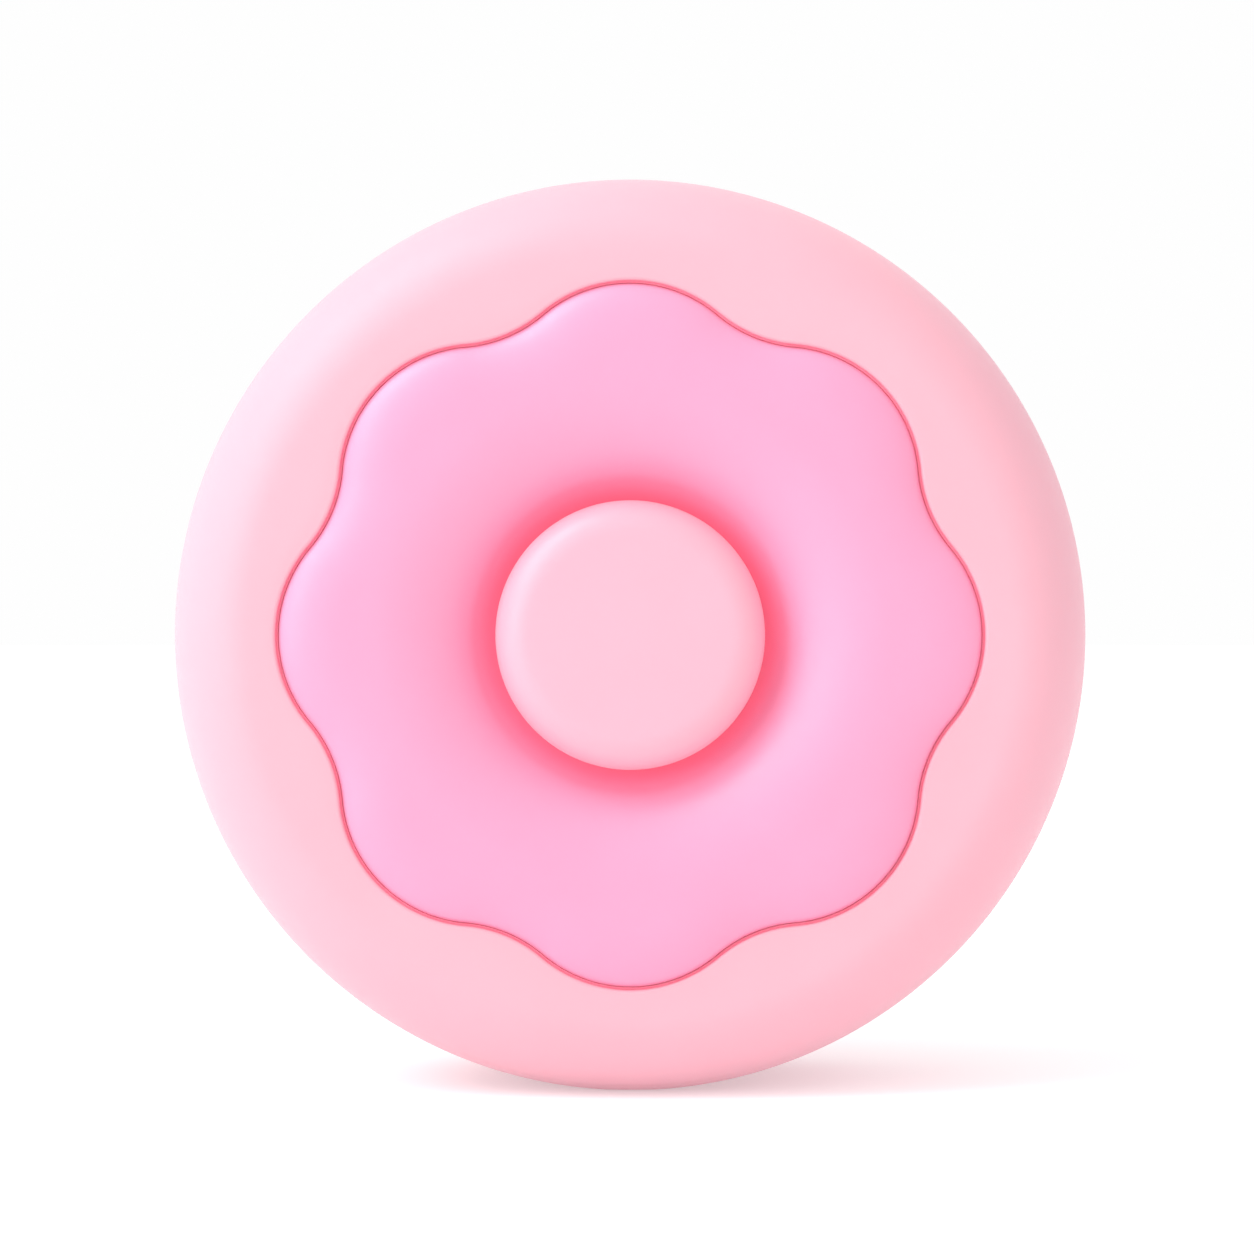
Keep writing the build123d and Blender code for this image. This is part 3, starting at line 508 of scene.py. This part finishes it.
class BRUSH_OT_ring(bpy.types.Operator):
    """Silicone ring: wraps the rim, with the scalloped window in front and an opening behind"""

    bl_idname = "brush.ring"
    bl_label = "Silicone ring"

    def execute(self, context):
        sizes, colours = context.scene.brush_sizes, context.scene.brush_colours
        bm = bmesh.new()
        opening = PAD_R + 0.2 * MM
        edge = 0.3 * MM
        arc_r = BODY_R - sizes.round_reach
        gap = sizes.seam_width / 2

        def rim(front, inset, share):
            """Along a rounding, from the flat face at 0 to the straight rim at 1."""
            turn = share * pi / 2
            reach = sizes.round_reach - inset
            deep = (FRONT_H if front else -REAR_H) - inset - sizes.rim_half
            h = sizes.rim_half + deep * cos(turn)
            return circle(arc_r + reach * sin(turn), h if front else -h)

        deep_h = FRONT_H - sizes.skin
        lip_h = FRONT_H - edge - sizes.seam_depth
        # The window's wall steps in under the groove, so the seam has a floor.
        places = [
            flower(-gap, deep_h),
            flower(-gap + 0.02 * MM, lip_h - 0.05 * MM),
            flower(-gap + GROOVE_LIP, lip_h),
            flower(gap - GROOVE_LIP, lip_h),
            flower(gap, lip_h + GROOVE_LIP),
        ]
        for turn in quarter(5):
            grow = gap + edge * (1 - cos(turn))
            places.append(flower(grow, FRONT_H - edge * (1 - sin(turn))))
        # The front face, the rim and the rear face.
        places += [between(gap + edge, arc_r, share, FRONT_H) for share in (0.35, 0.7)]
        places += [rim(True, 0.0, share) for share in shares(22)]
        places += [circle(BODY_R, sizes.rim_half * (1 - step / 2)) for step in (1, 2, 3)]
        places += [rim(False, 0.0, 1 - share) for share in shares(22)]
        places += [circle(opening + edge, REAR_H)]
        for turn in quarter(4)[1:]:
            radius = opening + edge * (1 - sin(turn))
            places.append(circle(radius, REAR_H + edge * (1 - cos(turn))))
        # The inside of the skin, back to the window.
        places.append(circle(opening, REAR_H + sizes.skin))
        places += [rim(False, sizes.skin, share) for share in shares(8)]
        places += [rim(True, sizes.skin, 1 - share) for share in shares(8)]
        loops(bm, places)
        # The foot of the ring is flat, where the brush stands.
        for vert in bm.verts:
            vert.co.z = max(vert.co.z, 0.0)
        # The seam's tint paints shade into the groove round the icing panel.
        seam = (tuple(colours.seam), arc_r, FRONT_H - 0.15 * MM, FRONT_H - edge - 0.05 * MM)
        material = silicone(
            "ring_silicone", tuple(colours.skin), seam=seam, rough=(0.44, 0.54), gloss=0.4
        )
        piece = add_piece(
            "silicone_ring", bm, "brush", "silicone_sleeve", material
        )
        cut_slot(piece)
        return {"FINISHED"}


def slot_block(long, tall, low, high):
    """A closed round-ended block at the charging seat, long along X."""
    bm = bmesh.new()
    made = bmesh.ops.create_circle(bm, segments=64, radius=tall / 2, cap_ends=True)
    for vert in made["verts"]:
        side = (long - tall) / 2 if vert.co.x > 0 else -(long - tall) / 2
        vert.co.x += 0.0 if abs(vert.co.x) < 1e-7 else side
        vert.co.y += SEAT_MID_Y
        vert.co.z = low
    grown = bmesh.ops.extrude_face_region(bm, geom=bm.faces[:])["geom"]
    top = [part for part in grown if isinstance(part, bmesh.types.BMVert)]
    bmesh.ops.translate(bm, verts=top, vec=(0, 0, high - low))
    bmesh.ops.recalc_face_normals(bm, faces=bm.faces)
    return bm


def cut_slot(piece):
    """Cuts the charging slot through the top of the ring."""
    bm = slot_block(SLOT_LONG, SLOT_TALL, SEAT_TOP_Z - SLOT_BELOW, SEAT_TOP_Z + SLOT_ABOVE)
    mesh = bpy.data.meshes.new("slot_cutter")
    bm.to_mesh(mesh)
    bm.free()
    cutter = bpy.data.objects.new("slot_cutter", mesh)
    bpy.context.scene.collection.objects.link(cutter)
    cut = piece.modifiers.new("slot", "BOOLEAN")
    cut.operation, cut.object, cut.solver = "DIFFERENCE", cutter, "EXACT"
    bpy.context.view_layer.update()
    graph = bpy.context.evaluated_depsgraph_get()
    shaped = bpy.data.meshes.new_from_object(piece.evaluated_get(graph))
    piece.modifiers.clear()
    old = piece.data
    piece.data = shaped
    shaped.name = "silicone_ring"
    bpy.data.meshes.remove(old)
    bpy.data.objects.remove(cutter)
    bpy.data.meshes.remove(mesh)


class BRUSH_OT_icing(bpy.types.Operator):
    """Icing panel: scalloped silicone cushion that slopes into the button's well"""

    bl_idname = "brush.icing"
    bl_label = "Icing panel"

    def execute(self, context):
        sizes, colours = context.scene.brush_sizes, context.scene.brush_colours
        bm = bmesh.new()
        crest = sizes.crest_radius
        outer = -sizes.seam_width / 2
        side_h = CREST_H - sizes.icing_drop

        def edge_loop(turn):
            """Along the rounding from the seam, turn 0, up to the crest, turn pi / 2."""
            grow = outer - sizes.icing_round * (1 - cos(turn))
            return flower(grow, side_h + sizes.icing_drop * sin(turn))

        # The slope into the well is a wide convex bend, then a tighter concave one.
        run, fall = crest - sizes.well_radius, CREST_H - sizes.well_edge
        bend_turn = 2 * math.atan2(fall, run)
        wide_r = run / sin(bend_turn) * WELL_WIDE_BEND
        tight_r = run / sin(bend_turn) - wide_r

        def well_loop(share):
            if share < WELL_WIDE_STEPS:
                turn = bend_turn * share / WELL_WIDE_STEPS
                return circle(crest - wide_r * sin(turn), CREST_H - wide_r * (1 - cos(turn)))
            turn = bend_turn * (1 - share) / (1 - WELL_WIDE_STEPS)
            radius = sizes.well_radius + tight_r * sin(turn)
            return circle(radius, sizes.well_edge + tight_r * (1 - cos(turn)))

        top_grow = outer - sizes.icing_round
        places = [flower(outer, ICING_BASE_H)]
        places += [edge_loop(turn) for turn in quarter(14)]
        places += [between(top_grow, crest, share, CREST_H) for share in (0.33, 0.67)]
        places += [well_loop(share) for share in shares(32)]
        places.append(circle(sizes.well_radius, WELL_FLOOR_H))
        places.append(circle(sizes.well_radius + sizes.skin * 0.9, WELL_FLOOR_H))
        places.append(circle(crest, ICING_BASE_H))
        loops(bm, places)
        material = silicone(
            "icing_silicone",
            tuple(colours.icing),
            # The well's tint is painted shade round the button.
            well_shade=(tuple(colours.well), sizes.well_radius, WELL_SHADE_END),
            gloss=0.9,
        )
        add_piece("icing_cushion", bm, "brush", "icing_panel", material)
        return {"FINISHED"}


def turned(bm, outline, segments=192):
    """Spins an outline of (radius, h) points once round the puck's axis."""
    verts = [bm.verts.new(at(radius, 0.0, h)) for radius, h in outline]
    edges = [bm.edges.new(pair) for pair in zip(verts, verts[1:])]
    bmesh.ops.spin(
        bm, geom=verts + edges, cent=(0, 0, MID_Z), axis=(0, 1, 0), angle=2 * pi,
        steps=segments, use_merge=True, use_duplicate=False,
    )
    bmesh.ops.remove_doubles(bm, verts=bm.verts, dist=1e-7)


class BRUSH_OT_button(bpy.types.Operator):
    """Push button: round cap with a wide soft edge, hollow behind, with its stem"""

    bl_idname = "brush.button"
    bl_label = "Push button"

    def execute(self, context):
        sizes, colours = context.scene.brush_sizes, context.scene.brush_colours
        bm = bmesh.new()
        soft = sizes.button_round
        top, low = BUTTON_TOP_H, BUTTON_BOTTOM_H
        outline = [(0.0, top), (3.0 * MM, top), (6.0 * MM, top)]
        for turn in quarter(14):
            outline.append((BUTTON_R - soft + soft * sin(turn), top - soft + soft * cos(turn)))
        thick, chamfer = 1.5 * MM, 0.3 * MM
        wall, roof = BUTTON_R - thick, top - thick
        stem_r, stem_tip_r, stem_h = 2.5 * MM, 2.3 * MM, -CAP_HIGH.y
        outline += [
            (BUTTON_R, low + chamfer),
            (BUTTON_R - chamfer, low),
            (wall, low),
            (wall, top - 3.2 * MM),
            (wall - 1.2 * MM, roof),
            (stem_r, roof),
            (stem_r, stem_h + 0.2 * MM),
            (stem_tip_r, stem_h),
            (0.0, stem_h),
        ]
        turned(bm, outline)
        material = silicone("button_silicone", tuple(colours.button), rough=(0.36, 0.44), grain=0.7)
        add_piece("push_button", bm, "button", "button_cap", material)
        return {"FINISHED"}


def polar_rows(pitch, first, counts, stagger):
    """Points (right, up) on rings round the axis."""
    points = []
    for ring, count in enumerate(counts):
        radius = first + ring * pitch
        for step in range(count):
            angle = 2 * pi * (step + stagger * (ring % 2) / 2) / count
            points.append((radius * cos(angle), radius * sin(angle)))
    return points


def grow_bristles(bm, points, root_r, tip_r, tall, sides):
    """Round-tipped bristles on the pad, all grown together, each from a loop at its foot."""
    number = bm.verts.layers.int.get("bristle") or bm.verts.layers.int.new("bristle")
    base_y = -REAR_H - BRISTLE_SUNK
    edges = []
    for index, (right, up) in enumerate(points):
        made = bmesh.ops.create_circle(bm, segments=sides, radius=root_r, cap_ends=False)["verts"]
        for vert in made:
            vert.co = Vector((right + vert.co.x, base_y, MID_Z + up + vert.co.y))
            vert[number] = index
        edges += edges_of(made)
    size = root_r
    for share, radius in bristle_outline(root_r, tip_r):
        grown = bmesh.ops.extrude_edge_only(bm, edges=edges)["geom"]
        for vert in (part for part in grown if isinstance(part, bmesh.types.BMVert)):
            right, up = points[vert[number]]
            vert.co.x = right + (vert.co.x - right) * radius / size
            vert.co.z = MID_Z + up + (vert.co.z - MID_Z - up) * radius / size
            vert.co.y = base_y + share * (tall + BRISTLE_SUNK)
        edges = [part for part in grown if isinstance(part, bmesh.types.BMEdge)]
        size = radius
    caps = bmesh.ops.holes_fill(bm, edges=edges, sides=0)["faces"]
    for vert in bmesh.ops.poke(bm, faces=caps)["verts"]:
        vert.co.y = base_y + tall + BRISTLE_SUNK


def bristle_outline(root_r, tip_r):
    """(share of the height, radius) of a bristle: a slight taper, then a rounded tip."""
    return (
        (0.15, root_r * 0.88),
        (0.6, (root_r + tip_r) / 2 * 0.97),
        (0.88, tip_r),
        (0.975, tip_r * 0.68),
    )


class BRUSH_OT_bristle_pad(bpy.types.Operator):
    """Bristle pad: soft disc with massage nubs in the middle and fine bristles round them"""

    bl_idname = "brush.bristle_pad"
    bl_label = "Bristle pad"

    def execute(self, context):
        sizes, colours = context.scene.brush_sizes, context.scene.brush_colours
        bm = bmesh.new()
        edge = 0.45 * MM
        outline = [(0.0, REAR_H)]
        for turn in quarter(5):
            outline.append((PAD_R - edge + edge * sin(turn), REAR_H + edge - edge * cos(turn)))
        outline += [(PAD_R, REAR_H + sizes.skin), (0.0, REAR_H + sizes.skin)]
        turned(bm, outline, segments=160)
        nubs = [(0.0, 0.0)] + polar_rows(sizes.nub_pitch, sizes.nub_pitch, (6, 12, 18), 0)
        grow_bristles(bm, nubs, sizes.nub_radius, sizes.nub_radius * 0.7, sizes.nub_length, 12)
        first = BRISTLE_FIRST * sizes.nub_pitch
        pitch = sizes.bristle_pitch
        radii = [first + ring * pitch for ring in range(BRISTLE_RINGS)]
        counts = [round(2 * pi * radius / pitch) for radius in radii]
        tall = REAR_H - BRISTLE_TIP_H
        fine = polar_rows(pitch, first, counts, 1)
        grow_bristles(bm, fine, sizes.bristle_root, sizes.bristle_tip, tall, 8)
        material = silicone("bristle_silicone", tuple(colours.bristles), rough=(0.45, 0.55))
        add_piece("bristle_pad", bm, "brush", "brush_pad", material, crease=50)
        return {"FINISHED"}


class BRUSH_OT_charging_seat(bpy.types.Operator):
    """Charging seat: plastic insert in the slot at the top of the rim, round its two contacts"""

    bl_idname = "brush.charging_seat"
    bl_label = "Charging seat"

    def execute(self, context):
        coat_nodes(moulded_plastic("seat_plastic", (0.80, 0.62, 0.66), 0.38), "contact_insert")
        coat_nodes(machined_metal("contact_gold", (0.83, 0.60, 0.26), 0.22), "charge_contacts")
        return {"FINISHED"}


class BRUSH_OT_inside(bpy.types.Operator):
    """Finishes of the core, the board, the cell and the motor"""

    bl_idname = "brush.inside"
    bl_label = "Finishes inside"

    def execute(self, context):
        plastic, metal, rubber = moulded_plastic, machined_metal, soft_rubber
        for material, *names in (
            (plastic("core_plastic", (0.82, 0.82, 0.80)), "front_housing", "rear_housing"),
            (plastic("carrier_plastic", (0.85, 0.55, 0.63)), "panel_carrier"),
            (plastic("guide_plastic", (0.78, 0.78, 0.78), 0.35), "button_guide"),
            (plastic("switch_plastic", (0.03, 0.03, 0.033), 0.45), "switch_body"),
            (plastic("plunger_plastic", (0.72, 0.70, 0.62), 0.4), "switch_plunger"),
            (
                plastic("chip_epoxy", (0.022, 0.022, 0.025), 0.5, 4000.0),
                "microcontroller", "charge_chip", "motor_driver_chip",
            ),
            (
                plastic("nylon", (0.76, 0.74, 0.66), 0.45),
                "battery_connector", "motor_end_cap", "small_board_parts",
            ),
            (solder_mask("board_mask"), "circuit_board"),
            (
                metal("plated_steel", (0.58, 0.58, 0.60), 0.3),
                "guide_screws", "board_screws", "housing_screws", "strap_screws", "motor_strap",
                "button_spring", "switch_dome",
            ),
            (
                metal("drawn_steel", (0.60, 0.60, 0.62), 0.25, (0.15, 1.0, 1.0)),
                "motor_can", "motor_shaft",
            ),
            (metal("sintered_tungsten", (0.42, 0.42, 0.42), 0.5), "eccentric_weight"),
            (metal("brass", (0.72, 0.50, 0.20), 0.3), "motor_bushes", "motor_terminals"),
            (metal("laminated_core", (0.30, 0.30, 0.31), 0.45, (4.0, 0.2, 0.2)), "rotor_core"),
            (metal("commutator_copper", (0.70, 0.34, 0.20), 0.3), "commutator"),
            (metal("magnet_nickel", (0.42, 0.42, 0.44), 0.28), "charge_magnets"),
            (rubber("ferrite", (0.06, 0.06, 0.065), 0.6, 3000.0), "motor_magnets"),
            (wound_copper("winding_copper"), "rotor_windings"),
            (metal("cell_foil", (0.62, 0.63, 0.65), 0.4, (1.0, 1.0, 0.3)), "battery_cell"),
            (
                rubber("seal_rubber", (0.28, 0.28, 0.30)),
                "button_seal", "housing_seal", "contact_seal",
            ),
            (
                rubber("dark_foam", (0.03, 0.03, 0.03), 0.85, 1200.0),
                "battery_pad", "motor_sleeve",
            ),
            (rubber("red_insulation", (0.50, 0.02, 0.02), 0.5, 5000.0), "battery_leads"),
            (
                rubber("white_insulation", (0.75, 0.75, 0.72), 0.5, 5000.0),
                "motor_leads", "charge_leads",
            ),
        ):
            coat_nodes(material, *names)
        for name in ("button_spring", "button_seal", "switch_dome"):
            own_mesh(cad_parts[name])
        return {"FINISHED"}


class BRUSH_OT_studio(bpy.types.Operator):
    """Pale floor, soft lights and the camera"""

    bl_idname = "brush.studio"
    bl_label = "Studio"

    def execute(self, context):
        scene = context.scene
        scene.view_settings.view_transform = "Standard"
        bm = bmesh.new()
        bmesh.ops.create_grid(bm, x_segments=1, y_segments=1, size=6.0)
        mesh = bpy.data.meshes.new("studio_floor")
        bm.to_mesh(mesh)
        bm.free()
        floor = bpy.data.objects.new("studio_floor", mesh)
        scene.collection.objects.link(floor)
        nodes = Nodes("floor_paper")
        tint = tuple(scene.brush_colours.floor)
        speck = nodes.spread(nodes.noise(40.0), 0.3, 0.7, 0.0, 1.0)
        nodes.surface(nodes.mix(speck, shade(tint, 0.998), shade(tint, 1.002)))
        nodes.set(Roughness=0.9, Specular_IOR_Level=0.0)
        nodes.set(Emission_Color=(1.0, 1.0, 1.0, 1.0), Emission_Strength=FLOOR_GLOW)
        mesh.materials.append(nodes.material)

        world = bpy.data.worlds.new("studio_air")
        world.use_nodes = True
        air = world.node_tree.nodes["Background"]
        air.inputs["Color"].default_value = (AIR_GREY, AIR_GREY, AIR_GREY, 1)
        air.inputs["Strength"].default_value = AIR_STRENGTH
        scene.world = world

        add_light("key", KEY_PLACE, KEY_SIZE, KEY_POWER)
        add_light("side", SIDE_PLACE, SIDE_SIZE, SIDE_POWER)

        camera = bpy.data.cameras.new("camera")
        camera.lens = CAMERA_LENS
        camera.sensor_width = CAMERA_SENSOR
        camera.clip_start = 0.01
        camera.clip_end = 50.0
        holder = bpy.data.objects.new("camera", camera)
        holder.location = CAMERA_PLACE
        holder.rotation_euler = (pi / 2, 0, 0)
        scene.collection.objects.link(holder)
        scene.camera = holder
        return {"FINISHED"}


def add_light(name, place, size, power):
    """A soft square light that faces the middle of the puck."""
    lamp = bpy.data.lights.new(name, "AREA")
    lamp.size = size
    lamp.energy = power
    holder = bpy.data.objects.new(name, lamp)
    holder.location = place
    aim = Vector((0, 0, MID_Z)) - Vector(place)
    holder.rotation_euler = aim.to_track_quat("-Z", "Y").to_euler()
    bpy.context.scene.collection.objects.link(holder)


class BRUSH_PT_panel(bpy.types.Panel):
    """Lists the pieces of the brush in the order they are made"""

    bl_idname = "BRUSH_PT_panel"
    bl_label = "Facial cleansing brush"
    bl_space_type = "VIEW_3D"
    bl_region_type = "UI"
    bl_category = "Brush"

    def draw(self, context):
        for maker in MAKERS:
            self.layout.operator(maker.bl_idname)
        for group in (context.scene.brush_sizes, context.scene.brush_colours):
            box = self.layout.box()
            for key in group.bl_rna.properties.keys():
                if key not in ("rna_type", "name"):
                    box.prop(group, key)


MAKERS = (
    BRUSH_OT_ring,
    BRUSH_OT_icing,
    BRUSH_OT_button,
    BRUSH_OT_bristle_pad,
    BRUSH_OT_charging_seat,
    BRUSH_OT_inside,
    BRUSH_OT_studio,
)
CLASSES = (BrushSizes, BrushColours, *MAKERS, BRUSH_PT_panel)


def register():
    for cls in CLASSES:
        bpy.utils.register_class(cls)
    bpy.types.Scene.brush_sizes = bpy.props.PointerProperty(type=BrushSizes)
    bpy.types.Scene.brush_colours = bpy.props.PointerProperty(type=BrushColours)


def unregister():
    del bpy.types.Scene.brush_colours
    del bpy.types.Scene.brush_sizes
    for cls in reversed(CLASSES):
        bpy.utils.unregister_class(cls)


def main():
    register()
    for maker in MAKERS:
        group, action = maker.bl_idname.split(".")
        getattr(getattr(bpy.ops, group), action)()


if __name__ == "__main__":
    main()
